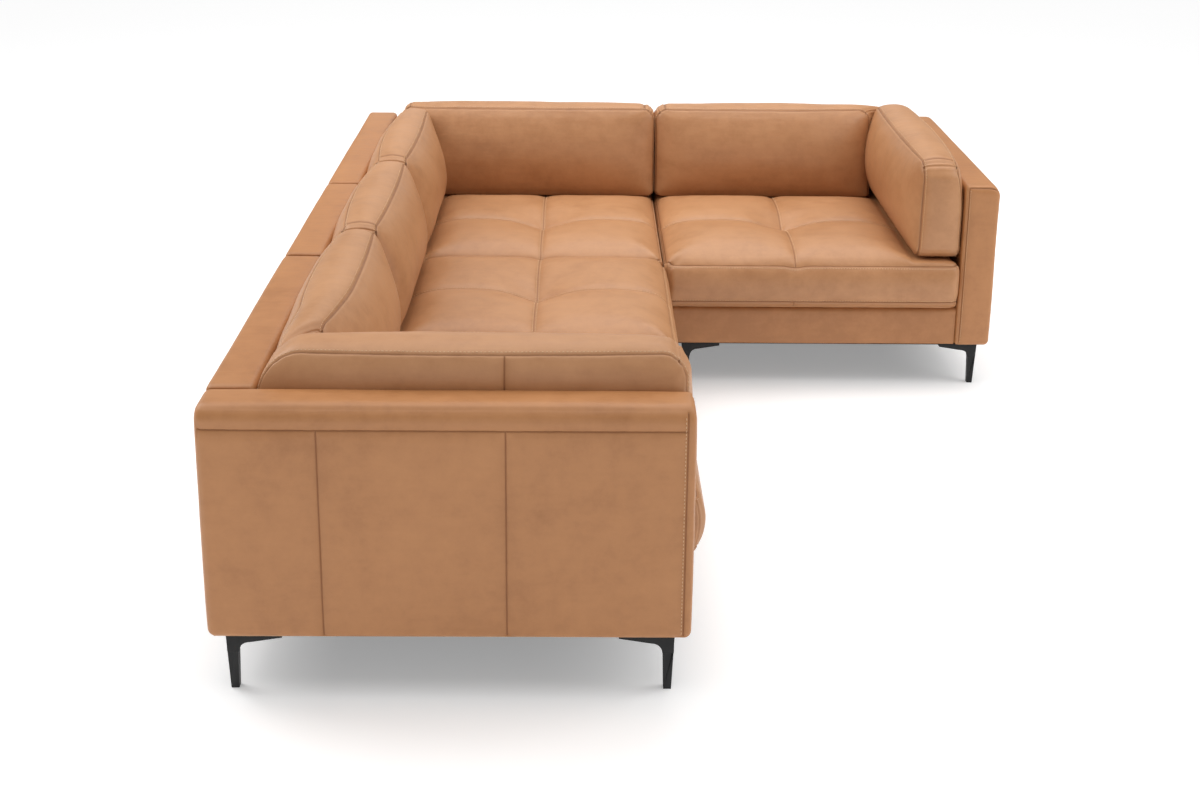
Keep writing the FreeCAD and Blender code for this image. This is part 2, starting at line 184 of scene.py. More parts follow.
leatherValues = {
    "coverTan": (0.465, 0.205, 0.076),
    "cushionTan": (0.50, 0.245, 0.110),
    "threadTan": (0.76, 0.50, 0.29),
    "darker": (0.84, 0.80, 0.75),        # shares of the tan in its dark and light places
    "lighter": (1.10, 1.13, 1.17),
    "seamBrown": (0.42, 0.33, 0.25),
    "seamShare": 0.72,
    "cloudSize": 5.5,         # clouds per metre
    "cloudShare": 1.0,        # how much each pattern moves the colour
    "speckSize": 26.0,
    "speckShare": 0.9,
    "streakSize": 60.0,
    "streakShare": 0.22,
    "toneShare": 0.5,
    "grainSize": 900.0,       # pores per metre
    "wrinkles": 0.45,         # strength of the relief
    "pores": 0.16,
    "roughness": 0.44,
    "shine": 0.48,
}


def leather(name, tan, values):
    finish = Finish(name)
    place = finish.place()
    crease = finish.attribute("crease")
    # the tone attribute holds each piece's own tone, plus painted shade on the seat front bands and the base
    # covers
    tone = finish.attribute("tone")
    clouds = finish.node("ShaderNodeTexNoise", None, "Fac", Vector=place,
                         Scale=values["cloudSize"], Detail=5.0, Roughness=0.6, Distortion=0.4)
    specks = finish.node("ShaderNodeTexNoise", None, "Fac", Vector=place,
                         Scale=values["speckSize"], Detail=6.0, Roughness=0.65)
    turned = finish.node("ShaderNodeMapping", None, 0, Vector=place,
                         Rotation=(0.5, 0.6, 0.3), Scale=(0.12, 1.0, 1.0))
    streaks = finish.node("ShaderNodeTexNoise", None, "Fac", Vector=turned,
                          Scale=values["streakSize"], Detail=3.0, Roughness=0.5)
    grain = finish.node("ShaderNodeTexVoronoi", {"feature": "DISTANCE_TO_EDGE"}, 0, Vector=place,
                        Scale=values["grainSize"])
    fine = finish.node("ShaderNodeTexNoise", None, "Fac", Vector=place,
                       Scale=values["grainSize"] * 0.6, Detail=2.0)

    patterns = (clouds - 0.5) * values["cloudShare"] + (specks - 0.5) * values["speckShare"]
    patterns = patterns + (streaks - 0.5) * values["streakShare"] + tone * values["toneShare"] + 0.5
    darker, lighter = scaled(tan, values["darker"]), scaled(tan, values["lighter"])
    colour = finish.ramp(patterns, [(0.12, darker), (0.5, tan), (0.88, lighter)])
    # the seam lines are drawn dark, and painted shade beside them darkens the colour further
    colour = finish.mix(crease * values["seamShare"], colour, scaled(tan, values["seamBrown"]))
    finish.feed("Base Color", colour)
    rough = values["roughness"] + (specks - 0.5) * 0.16 + (clouds - 0.5) * 0.1 + crease * 0.2
    finish.feed("Roughness", rough)
    wrinkles = finish.node("ShaderNodeBump", None, 0, Strength=values["wrinkles"], Distance=0.0012,
                           Height=streaks + specks * 0.5)
    pores = finish.node("ShaderNodeBump", None, 0, Strength=values["pores"], Distance=0.0006,
                        Height=grain * 0.35 + fine * 0.25, Normal=wrinkles)
    finish.feed("Normal", pores)
    finish.feed("Specular IOR Level", values["shine"])
    return finish.material


def thread(name, colour):
    finish = Finish(name)
    twist = finish.node("ShaderNodeTexWave", None, "Fac", Vector=finish.place(), Scale=700.0, Distortion=1.0)
    finish.feed("Base Color", finish.ramp(twist, [(0.0, scaled(colour, (0.7, 0.7, 0.7))), (0.7, colour)]))
    finish.feed("Roughness", 0.75)
    return finish.material


paintValues = {
    "dark": (0.008, 0.0083, 0.0086),
    "light": (0.014, 0.0145, 0.015),
    "roughness": 0.5,
    "shine": 0.33,
}


def blackPaint(name, values):
    finish = Finish(name)
    place = finish.place()
    mottle = finish.node("ShaderNodeTexNoise", None, "Fac", Vector=place, Scale=35.0, Detail=4.0)
    pebble = finish.node("ShaderNodeTexNoise", None, "Fac", Vector=place, Scale=1400.0, Detail=2.0)
    finish.feed("Base Color", finish.ramp(mottle, [(0.3, values["dark"]), (0.7, values["light"])]))
    finish.feed("Roughness", values["roughness"] + (mottle - 0.5) * 0.14)
    finish.feed("Specular IOR Level", values["shine"])
    relief = finish.node("ShaderNodeBump", None, 0, Strength=0.25, Distance=0.0003, Height=pebble)
    finish.feed("Normal", relief)
    return finish.material


def steel(name):
    finish = Finish(name)
    turned = finish.node("ShaderNodeMapping", None, 0, Vector=finish.place(), Scale=(30.0, 900.0, 900.0))
    brush = finish.node("ShaderNodeTexNoise", None, "Fac", Vector=turned, Scale=1.0, Detail=3.0)
    finish.feed("Base Color", finish.ramp(brush, [(0.3, (0.42, 0.42, 0.43)), (0.7, (0.6, 0.6, 0.61))]))
    finish.feed("Metallic", 1.0)
    finish.feed("Roughness", 0.3 + brush * 0.18)
    return finish.material


def pine(name):
    finish = Finish(name)
    turned = finish.node("ShaderNodeMapping", None, 0, Vector=finish.place(), Scale=(3.0, 3.0, 24.0))
    rings = finish.node("ShaderNodeTexWave", None, "Fac", Vector=turned,
                        Scale=2.0, Distortion=6.0, Detail=3.0)
    finish.feed("Base Color", finish.ramp(rings, [(0.1, (0.46, 0.29, 0.15)), (0.9, (0.66, 0.47, 0.28))]))
    finish.feed("Roughness", 0.62 + rings * 0.12)
    return finish.material


def wovenCloth(name, dark, light, threads):
    finish = Finish(name)
    place = finish.place()
    warp = finish.node("ShaderNodeTexWave", {"bands_direction": "X"}, "Fac", Vector=place, Scale=threads)
    weft = finish.node("ShaderNodeTexWave", {"bands_direction": "Y"}, "Fac", Vector=place, Scale=threads)
    weave = warp * weft
    fuzz = finish.node("ShaderNodeTexNoise", None, "Fac", Vector=place, Scale=60.0, Detail=4.0)
    finish.feed("Base Color", finish.ramp(weave * 0.7 + fuzz * 0.3, [(0.2, dark), (0.8, light)]))
    finish.feed("Roughness", 0.85 + fuzz * 0.1)
    relief = finish.node("ShaderNodeBump", None, 0, Strength=0.4, Distance=0.0006, Height=weave)
    finish.feed("Normal", relief)
    return finish.material


coverLeather = leather("coverLeather", leatherValues["coverTan"], leatherValues)
cushionLeather = leather("cushionLeather", leatherValues["cushionTan"], leatherValues)
tanThread = thread("tanThread", leatherValues["threadTan"])
legBlack = blackPaint("legBlack", paintValues)
zincSteel = steel("zincSteel")
framePine = pine("framePine")
strapWebbing = wovenCloth("strapWebbing", (0.05, 0.045, 0.04), (0.16, 0.14, 0.12), 160.0)
dustCloth = wovenCloth("dustCloth", (0.006, 0.006, 0.007), (0.028, 0.028, 0.03), 260.0)
print("finishes made")


# Boxed forms: two panels (low and high) joined by a band, all on grids of lines.
# A panel has coordinates a and b, the band has p round the rim and c from low to high.
closeLines = (0.0, 0.0011, 0.0026, 0.005, 0.009, 0.015)


nearestLines = 0.0009


def spread(length, step, marks=()):
    # grid lines about a step apart, and close together beside the edges and the marked seams
    close = {0.0, length}
    for mark in (0.0, length, *marks):
        for offset in closeLines:
            close |= {place for place in (mark - offset, mark + offset) if 0 <= place <= length}
    kept = [0.0]
    for place in sorted(close):
        if place - kept[-1] > nearestLines:
            kept.append(place)
    kept[-1] = length
    lines = [0.0]
    for place in kept[1:]:
        count = max(1, round((place - lines[-1]) / step))
        lines += list(np.linspace(lines[-1], place, count + 1)[1:])
    return np.array(lines)


def even(length, step):
    return np.linspace(0, length, max(2, round(length / step)) + 1)


def roundCorners(a, b, sizeA, sizeB, corners):
    # squeezes the square corners of a grid into quarter circles
    sides = np.stack([a, sizeA - a, b, sizeB - b], -1)
    inset = sides.min(-1)
    inward = np.array([(1.0, 0.0), (-1.0, 0.0), (0.0, 1.0), (0.0, -1.0)])[sides.argmin(-1)]
    newA, newB = a.copy(), b.copy()
    for (signA, signB), radius in zip(((1, 1), (-1, 1), (-1, -1), (1, -1)), corners):
        fromA = a if signA > 0 else sizeA - a
        fromB = b if signB > 0 else sizeB - b
        near = (fromA < radius) & (fromB < radius)
        x = 1 - fromA[near] / radius
        y = 1 - fromB[near] / radius
        u = x * np.sqrt(1 - y * y / 2)
        v = y * np.sqrt(1 - x * x / 2)
        reach = np.maximum(np.hypot(u, v), 1e-6)
        edgeA, edgeB = radius * (1 - u), radius * (1 - v)
        newA[near] = edgeA if signA > 0 else sizeA - edgeA
        newB[near] = edgeB if signB > 0 else sizeB - edgeB
        inset[near] = radius * (1 - reach)
        inward[near] = np.stack([signA * u / reach, signB * v / reach], -1)
    return newA, newB, inset, inward


def roundOver(distance, radius):
    # the way in and the way down of an edge that is rounded by 45 degrees from each side
    angle = math.pi / 4 * np.clip(1 - distance / radius, 0, 1)
    drop = radius * (1 - np.cos(angle))
    slide = np.where(distance < radius, radius * (1 - np.sin(angle)) - distance, 0.0)
    return drop, slide


def boxedForm(size, lines, corners, edges):
    sizeA, sizeB, sizeC = size
    linesA, linesB, linesC = lines
    countA, countB, countC = len(linesA), len(linesB), len(linesC)
    gridA, gridB = np.meshgrid(linesA, linesB)
    low = np.arange(countB * countA).reshape(countB, countA)
    high = low + countB * countA
    rows = np.r_[np.zeros(countA - 1), np.arange(countB - 1), np.full(countA - 1, countB - 1),
                 np.arange(countB - 1, 0, -1)].astype(int)
    columns = np.r_[np.arange(countA - 1), np.full(countB - 1, countA - 1),
                    np.arange(countA - 1, 0, -1), np.zeros(countB - 1)].astype(int)
    ringA, ringB = gridA[rows, columns], gridB[rows, columns]
    steps = np.hypot(np.diff(np.r_[ringA, ringA[0]]), np.diff(np.r_[ringB, ringB[0]]))
    perimeter = np.r_[0.0, np.cumsum(steps)[:-1]]
    band = np.empty((countC, len(rows)), int)
    band[0], band[-1] = low[rows, columns], high[rows, columns]
    band[1:-1] = 2 * low.size + np.arange((countC - 2) * len(rows)).reshape(countC - 2, -1)

    total = 2 * low.size + (countC - 2) * len(rows)
    shaped = np.empty((total, 3))
    newA, newB, inset, inward = roundCorners(gridA, gridB, sizeA, sizeB, corners)
    for index, edge, level, sign in ((low, edges[0], 0.0, 1), (high, edges[1], sizeC, -1)):
        drop, slide = roundOver(inset, edge)
        shaped[index, 0] = newA + inward[..., 0] * slide
        shaped[index, 1] = newB + inward[..., 1] * slide
        shaped[index, 2] = level + sign * drop
    inner = linesC[1:-1, None]
    lowDrop, lowSlide = roundOver(inner, edges[0])
    highDrop, highSlide = roundOver(sizeC - inner, edges[1])
    drop = lowDrop + highDrop
    middle = band[1:-1]
    shaped[middle, 0] = newA[rows, columns] + inward[rows, columns, 0] * drop
    shaped[middle, 1] = newB[rows, columns] + inward[rows, columns, 1] * drop
    shaped[middle, 2] = inner + lowSlide - highSlide + 0 * middle

    faces = []
    for grid in (low[:, ::-1], high):
        quads = np.stack([grid[:-1, :-1], grid[:-1, 1:], grid[1:, 1:], grid[1:, :-1]], -1)
        faces.append(quads.reshape(-1, 4))
    turn = np.roll(band, -1, 1)
    quads = np.stack([band[:-1], turn[:-1], turn[1:], band[1:]], -1)
    faces.append(quads.reshape(-1, 4))
    return {
        "size": size, "shaped": shaped, "faces": np.concatenate(faces), "inset": inset,
        "low": (low, linesA, linesB), "high": (high, linesA, linesB), "band": (band, perimeter, linesC),
        "around": 2 * (sizeA + sizeB),
    }


def fineForm(size, step, marks, corners, edges):
    lines = [spread(length, step, places) for length, places in zip(size, marks)]
    return boxedForm(size, lines, corners, edges)


def coarseForm(size, step, corners, edges):
    return boxedForm(size, [even(length, step) for length in size], corners, edges)


def facePlaces(form, face):
    index, linesU, linesV = form[face]
    u, v = np.meshgrid(linesU, linesV)
    return index, u, v


def panelMask(form, face):
    mask = np.zeros(len(form["shaped"]), bool)
    mask[form[face][0]] = True
    return mask


def cubicWeights(old, new, around=None):
    # shares of four neighbouring old lines in each new line
    count = len(old)
    if around:
        index = np.interp(new, np.r_[old, around], np.arange(count + 1))
        base = np.floor(index).astype(int).clip(0, count - 1)
    else:
        index = np.interp(new, old, np.arange(count))
        base = np.floor(index).astype(int).clip(0, count - 2)
    t = index - base
    shares = ((2 * t**2 - t - t**3) / 2, (2 - 5 * t**2 + 3 * t**3) / 2,
              (t + 4 * t**2 - 3 * t**3) / 2, (t**3 - t**2) / 2)
    weights = np.zeros((len(new), count))
    for offset, share in enumerate(shares):
        at = base + offset - 1
        at = at % count if around else at.clip(0, count - 1)
        np.add.at(weights, (np.arange(len(new)), at), share)
    return weights


def carryOver(values, coarse, fine):
    carried = np.zeros((len(fine["shaped"]), values.shape[1]))
    for face in ("low", "high", "band"):
        around = coarse["around"] if face == "band" else None
        oldIndex, oldU, oldV = coarse[face]
        newIndex, newU, newV = fine[face]
        acrossU = cubicWeights(oldU, newU, around)
        acrossV = cubicWeights(oldV, newV)
        carried[newIndex] = np.einsum("vw,wxk,ux->vuk", acrossV, values[oldIndex], acrossU, optimize=True)
    return carried


def normalsOf(points, faces):
    corners = points[faces]
    across = np.cross(corners[:, 2] - corners[:, 0], corners[:, 3] - corners[:, 1])
    normals = np.zeros_like(points)
    for corner in range(4):
        np.add.at(normals, faces[:, corner], across)
    return normals / np.maximum(np.linalg.norm(normals, axis=1, keepdims=True), 1e-12)


def outward(points, faces):
    corners = points[faces]
    volume = np.einsum("ij,ij->i", corners[:, 0], np.cross(corners[:, 1], corners[:, 2]))
    volume += np.einsum("ij,ij->i", corners[:, 0], np.cross(corners[:, 2], corners[:, 3]))
    return faces if volume.sum() > 0 else faces[:, ::-1]


def ripple(points, size, seed):
    # a smooth field between -1 and 1 with features of about the given size
    chance = np.random.default_rng(seed)
    total = np.zeros(len(points))
    for _ in range(7):
        direction = chance.normal(size=3)
        direction /= np.linalg.norm(direction)
        wave = 2 * math.pi / (size * chance.uniform(1.2, 2.6))
        total += np.sin(points @ direction * wave + chance.uniform(0, 2 * math.pi))
    return total / 4.2


def unevenness(points, waves):
    return sum(ripple(points, size, seed) * height for size, seed, height in waves)


def radialFolds(x, y, count, turn, reach):
    # small folds that run out from a tuft or a corner, flat at its middle
    away = np.hypot(x, y)
    fading = np.exp(-(away / reach) ** 2) * (1 - np.exp(-(away / 0.012) ** 2))
    return np.cos(np.arctan2(x, y) * count + turn) * fading


def pucker(form, points, faces, corners, values):
    # folds where three panels meet
    a, b = form["shaped"][:, 0], form["shaped"][:, 1]
    total = np.zeros(len(points))
    for atA, atB in corners:
        total += radialFolds(b - atB, a - atA, 13, 0.6, values["reach"])
    return points + normalsOf(points, faces) * (total * values["height"])[:, None]


puckerValues = {"reach": 0.055, "height": 0.0016}


# Seams: (face, line direction, where it lies, from, to); a rim is the whole edge of a panel
def seamDistance(form, seams):
    nearest = np.full(len(form["shaped"]), 9.0)
    for face, kind, value, start, end in seams:
        if kind == "rim":
            index, _, _ = form[face]
            nearest[index] = np.minimum(nearest[index], form["inset"])
            band, _, level = facePlaces(form, "band")
            fromRim = level if face == "low" else form["size"][2] - level
            nearest[band] = np.minimum(nearest[band], fromRim)
            continue
        index, u, v = facePlaces(form, face)
        along, across = (v, u) if kind == "u" else (u, v)
        beyond = np.maximum(0, np.maximum(start - along, along - end))
        nearest[index] = np.minimum(nearest[index], np.hypot(across - value, beyond))
    return nearest


seamValues = {
    "depth": 0.0020,
    "width": 0.0019,
    "hollow": 0.0024,            # the wide dip on both sides of a seam
    "hollowWidth": 0.012,
    "gather": 0.0007,            # small waves where the leather is gathered
    "gatherSize": 0.012,
    "gatherReach": 0.02,
    "creaseWidth": 0.0013,       # of the dark line in the seam
    "shade": 0.12,               # of the faint painted shade beside it
    "shadeWidth": 0.012,
    "rowShade": 0.3,             # a sewn row beside a seam
    "rowDepth": 0.0009,
}


def sewSeams(form, points, faces, seams, rows=(), values=seamValues):
    distance = seamDistance(form, seams)
    normals = normalsOf(points, faces)
    groove = values["depth"] * np.exp(-(distance / values["width"]) ** 2)
    groove += values["hollow"] * np.exp(-(distance / values["hollowWidth"]) ** 2)
    fading = values["gather"] * np.exp(-distance / values["gatherReach"])
    gathers = ripple(points, values["gatherSize"], 5) * fading
    crease = np.exp(-(distance / values["creaseWidth"]) ** 2)
    # painted shade: a faint darkening on both sides of each seam, where its hollow lies
    crease += values["shade"] * np.exp(-(distance / values["shadeWidth"]) ** 2)
    if rows:
        beside = seamDistance(form, rows)
        crease += values["rowShade"] * np.exp(-(beside / 0.0011) ** 2)
        groove += values["rowDepth"] * np.exp(-(beside / 0.002) ** 2)
    return points - normals * (groove - gathers)[:, None], crease


def traceLine(form, points, faces, line, lift=0.0003):
    # points along a line on a finished form, a hair above its surface
    face, kind, value, start, end = line
    index, linesU, linesV = form[face]
    normals = normalsOf(points, faces)
    along, across = (linesV, linesU) if kind == "u" else (linesU, linesV)
    grid = points[index] + normals[index] * lift
    if kind == "u":
        grid = grid.transpose(1, 0, 2)
    position = np.interp(value, across, np.arange(len(across)))
    base = min(int(position), len(across) - 2)
    share = position - base
    strip = grid[base] * (1 - share) + grid[base + 1] * share
    inside = (along >= start) & (along <= end)
    return strip[inside]


stitchLines = {}


def stitchAlong(body, form, points, faces, lines):
    for line in lines:
        trace = traceLine(form, points, faces, line)
        if len(trace) > 1:
            stitchLines.setdefault(body, []).append(trace)


def pieceName(node):
    first, *others = node.split("_")
    return first + "".join(word.capitalize() for word in others)


def meshPiece(name, points, faces, material, body, crease, tone, replaces):
    mesh = bpy.data.meshes.new(name)
    mesh.from_pydata(points.tolist(), [], faces.tolist())
    mesh.polygons.foreach_set("use_smooth", np.ones(len(mesh.polygons), bool))
    for key, value in (("crease", crease), ("tone", tone)):
        shades = np.broadcast_to(value, len(points)).astype(np.float32)
        mesh.attributes.new(key, "FLOAT", "POINT").data.foreach_set("value", shades)
    mesh.materials.append(material)
    piece = addObject(name, mesh)
    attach(piece, body)
    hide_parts(*replaces)
    return piece


# A local frame: a, b and c of a form are laid along three row directions from a corner
def layIn(local, corner, directionA, directionB, directionC):
    axes = np.array([directionA, directionB, directionC], float)
    return np.array(corner, float) + local @ axes


def nodeBox(node):
    low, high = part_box(node)
    return np.array(low), np.array(high)


unitX, unitY, unitZ = np.eye(3)


def nodeSize(node, *directions):
    low, high = nodeBox(node)
    return tuple(float(abs((high - low) @ direction)) for direction in directions)


# Cloth: a coarse form is blown up between its held points, and the shift is carried to the fine form
clothValues = {
    "frames": 18,
    "quality": 5,
    "mass": 0.3,
    "stiffness": 8.0,
    "bending": 0.5,
    "heldLevels": 20,      # steps between free and fully held
    "cap": 0.024,          # the largest shift
}


def inflate(points, faces, held, pressure, values=clothValues):
    mesh = bpy.data.meshes.new("pad")
    mesh.from_pydata(points.tolist(), [], faces.tolist())
    pad = addObject("pad", mesh)
    scene = bpy.context.scene
    group = pad.vertex_groups.new(name="held")
    count = values["heldLevels"]
    levels = np.round(held * count).astype(int)
    for level in range(1, count + 1):
        chosen = np.flatnonzero(levels == level)
        if len(chosen):
            group.add(chosen.tolist(), level / count, "REPLACE")
    cloth = pad.modifiers.new("Cloth", "CLOTH")
    settings = cloth.settings
    settings.quality = values["quality"]
    settings.mass = values["mass"]
    settings.tension_stiffness = values["stiffness"]
    settings.compression_stiffness = values["stiffness"]
    settings.shear_stiffness = values["stiffness"] / 2
    settings.bending_stiffness = values["bending"]
    settings.use_pressure = True
    settings.uniform_pressure_force = pressure
    settings.vertex_group_mass = "held"
    settings.effector_weights.gravity = 0
    cloth.collision_settings.use_collision = False
    cloth.point_cache.frame_end = values["frames"]
    for number in range(1, values["frames"] + 1):
        scene.frame_set(number)
    shown = pad.evaluated_get(bpy.context.evaluated_depsgraph_get())
    moved = np.empty(len(points) * 3)
    shown.data.vertices.foreach_get("co", moved)
    scene.frame_set(1)
    bpy.data.objects.remove(pad)
    shift = moved.reshape(-1, 3) - points
    length = np.linalg.norm(shift, axis=1, keepdims=True)
    return shift * np.minimum(1, values["cap"] / np.maximum(length, 1e-9))


def blowUp(node, points, fine, coarse, start, held, pressure):
    shift = inflate(start, outward(start, coarse["faces"]), held, pressure)
    print(node, "cloth rise %.1f mm" % (1000 * np.abs(shift).max()))
    return points + carryOver(shift, coarse, fine)


# Seat cushions: a runs along the wing, b from the back to the front edge, c up from the deck
seatValues = {
    "step": 0.0085,
    "clothStep": 0.013,
    "frontSeam": 0.144,              # height of the top seam above the deck
    "lowerSeam": 0.026,              # height of the lower seam of the front band
    "edge": 0.018,
    "backCorner": 0.012,
    "frontCorner": 0.034,
    "frontTuck": 0.028,              # the strip under the lower seam is turned in
    "frontOut": 0.001,
    "belly": 0.013,                  # swell of the front band
    "flatRise": 0.0065,              # rise to the part pressed flat by the upright cushions
    "pressedDepth": 0.182,
    "clearRun": 0.05,                # run over which leather comes free of what holds it
    "crown": 0.017,
    "shoulder": 0.20,                # run from an edge to the full crown
    "cheek": 0.012,                  # quick rise beside the edges
    "cheekRun": 0.045,
    "sideDrop": 0.015,               # the side seams hang lower than the front seam
    "crossSeam": 0.530,              # from the back's inner face
    "seamHalf": 0.003,
    "rowOffset": 0.004,              # from a crossing seam to the stitches beside it
    "valley": 0.0055,                # hollow along both crossing seams
    "valleyWidths": (0.030, 0.026),
    "tuftDrop": 0.030,
    "tuftReach": 0.080,
    "foldHeight": 0.0011,
    "foldReach": 0.055,
    "waves": ((0.16, 3, 0.0014), (0.045, 4, 0.0004)),    # size, seed and height of the unevenness
    "pressure": 14.0,
    # painted shade on the front band and on its turned-under strip
    "bandTone": -0.25,
    "edgeTone": -0.80,
}
seatPlans = {
    "left": {"along": unitY, "depth": unitX, "seam": ("end", 0.395), "pressed": (0.141, 0.0), "tone": 0.10},
    "middle": {"along": unitY, "depth": unitX, "seam": ("middle", 0.0), "pressed": (0.0, 0.0), "tone": -0.05},
    "corner": {"along": unitY, "depth": unitX, "seam": ("end", 0.530), "pressed": (0.0, 0.182), "tone": 0.06,
               "innerFront": True},      # its front stands against the right module
    "right": {"along": unitX, "depth": -unitY, "seam": ("start", 0.395), "pressed": (0.0, 0.141),
              "tone": 0.0},
}


def rise(distance, run):
    return 1 - (1 - np.clip(distance / run, 0, 1)) ** 3


def seatTop(a, b, size, seamA, seamB, pressed, values):
    sizeA, sizeB, _ = size
    fromStart, fromEnd = a - pressed[0], sizeA - a - pressed[1]
    fromBack, fromFront = b - values["pressedDepth"], sizeB - b - 0.005
    clear, long, quick = values["clearRun"], values["shoulder"], values["cheekRun"]
    full = rise(fromStart, long) * rise(fromEnd, long) * rise(fromBack, long * 0.7) * rise(fromFront, long)
    sides = rise(fromStart, quick) * rise(fromEnd, quick) * rise(fromBack, quick) * rise(fromFront, quick)
    edge = np.minimum(np.minimum(a, sizeA - a), sizeB - b)
    height = values["flatRise"] * rise(edge, 0.03) + values["crown"] * full + values["cheek"] * sides
    gate = rise(fromBack, clear) * rise(fromStart, clear) * rise(fromEnd, clear)
    for distance, width in zip((b - seamB, a - seamA), values["valleyWidths"]):
        height -= values["valley"] * gate * np.exp(-(distance / width) ** 2)
    away = np.hypot(a - seamA, b - seamB)
    height -= values["tuftDrop"] * np.exp(-(away / values["tuftReach"]) ** 2)
    return height + radialFolds(a - seamA, b - seamB, 7, 1.1, values["foldReach"]) * values["foldHeight"]


def shapeSeat(form, seamA, seamB, plan, values):
    points = form["shaped"].copy()
    sizeA, sizeB, sizeC = form["size"]
    a, b, c = points.T      # these follow the points as they move
    level = c / sizeC
    lower = values["lowerSeam"] / sizeC
    front = np.clip((b - sizeB + 0.06) / 0.06, 0, 1) ** 2
    outwards = -values["frontTuck"] * (1 - np.clip(level / lower, 0, 1)) ** 1.5
    if "innerFront" not in plan:
        arch = np.sin(math.pi * np.clip((level - lower) / (1 - lower), 0, 1))
        outwards += values["belly"] * arch + values["frontOut"]
    points[:, 1] += front * outwards
    top = seatTop(a, b, form["size"], seamA, seamB, plan["pressed"], values)
    toSide = np.clip(1 - np.minimum(a, sizeA - a) / 0.05, 0, 1) ** 2 * rise(sizeB - b - 0.01, 0.10)
    top -= values["sideDrop"] * toSide * rise(b - 0.15, 0.10)
    points[:, 2] += np.where(c > sizeC * 0.8, top, 0.0)
    return points


def heldSeat(form, seamA, seamB, plan, values):
    # 1 where seams, tuft, sides or the upright cushions hold the leather, 0 where it blows up
    sizeA, sizeB, sizeC = form["size"]
    clear = values["clearRun"]
    held = np.ones(len(form["shaped"]))
    index, a, b = facePlaces(form, "high")
    rim = np.minimum(np.minimum(a, sizeA - a), sizeB - b)
    pressedStart, pressedEnd = plan["pressed"]
    free = rise(rim, 0.02) * rise(b - values["pressedDepth"], clear)
    free = free * rise(a - pressedStart, clear) * rise(sizeA - a - pressedEnd, clear)
    sewn = np.minimum(abs(a - seamA), abs(b - seamB))
    free = free * (0.35 + 0.65 * rise(sewn, clear)) * rise(np.hypot(a - seamA, b - seamB), 0.10)
    held[index] = 1 - free
    if "innerFront" not in plan:
        index, p, c = facePlaces(form, "band")
        onFront = rise(p - sizeA - sizeB - clear, clear) * rise(2 * sizeA + sizeB - clear - p, clear)
        free = onFront * rise(c - values["lowerSeam"], 0.03) * rise(sizeC - c, 0.03)
        held[index] = np.minimum(held[index], 1 - free)
    return held


def makeSeat(module, plan, values):
    node = module + "_seat_cushion"
    low, high = nodeBox(node)
    sizeA, sizeB = nodeSize(node, plan["along"], plan["depth"])
    sizeC = values["frontSeam"]
    size = (sizeA, sizeB, sizeC)
    corner = low.copy()
    if plan["depth"][1] < 0:
        corner[1] = high[1]
    where, run = plan["seam"]
    seamA = {"start": run, "middle": sizeA / 2, "end": sizeA - run}[where]
    seamB = values["crossSeam"]
    half, lower = values["seamHalf"], values["lowerSeam"]
    corners = (values["backCorner"], values["backCorner"], values["frontCorner"], values["frontCorner"])
    edges = (values["edge"] / 2, values["edge"])
    axes = (plan["along"], plan["depth"], unitZ)
    marks = ((seamA - half, seamA + half), (seamB - half, seamB + half), (lower,))
    fine = fineForm(size, values["step"], marks, corners, edges)
    points = layIn(shapeSeat(fine, seamA, seamB, plan, values), corner, *axes)
    coarse = coarseForm(size, values["clothStep"], corners, edges)
    start = layIn(shapeSeat(coarse, seamA, seamB, plan, values), corner, *axes)
    held = heldSeat(coarse, seamA, seamB, plan, values)
    points = blowUp(node, points, fine, coarse, start, held, values["pressure"])
    faces = outward(points, fine["faces"])
    index, a, b = facePlaces(fine, "high")
    soft = np.zeros(len(points))
    soft[index] = rise(np.minimum(sizeB - b, np.minimum(a, sizeA - a)), 0.05) * rise(b - 0.22, 0.05)
    points += normalsOf(points, faces) * (soft * unevenness(points, values["waves"]))[:, None]
    points = pucker(fine, points, faces, [(0.0, sizeB), (sizeA, sizeB)], puckerValues)
    hidden, offset = values["pressedDepth"], values["rowOffset"]
    around = (sizeA + sizeB * 0.5, 2 * sizeA + sizeB * 1.5)
    seams = [("high", "rim", 0, 0, 0), ("low", "rim", 0, 0, 0),
             ("band", "v", lower, sizeA + sizeB * 0.2, 2 * sizeA + sizeB * 1.8),
             ("high", "u", seamA, hidden, sizeB), ("high", "v", seamB, 0.0, sizeA),
             ("band", "u", sizeA + sizeB + sizeA - seamA, 0.0, lower)]
    rows = [("high", "v", seamB - offset, 0.0, sizeA), ("high", "v", seamB + offset, 0.0, sizeA)]
    points, crease = sewSeams(fine, points, faces, seams, rows)
    # painted shade: the front band is darkened, its turned-under edge more so, as less light falls on them
    tonesAndShade = np.full(len(points), plan["tone"])
    index, _, c = facePlaces(fine, "band")
    tonesAndShade[index] += np.where(c < lower, values["edgeTone"], values["bandTone"])
    piece = meshPiece(module + "SeatCushion", points, faces, cushionLeather, module,
                      crease, tonesAndShade, (node,))
    stitchAlong(module, fine, points, faces, [
        ("high", "v", seamB - offset, 0.01, sizeA - 0.01),
        ("high", "v", seamB + offset, 0.01, sizeA - 0.01),
        ("high", "u", seamA + 0.0042, hidden, sizeB - 0.01),
        ("band", "v", sizeC - 0.0068, *around),
        ("band", "v", lower + 0.0050, *around),
    ])


for module, plan in seatPlans.items():
    makeSeat(module, plan, seatValues)
print("seat cushions made")


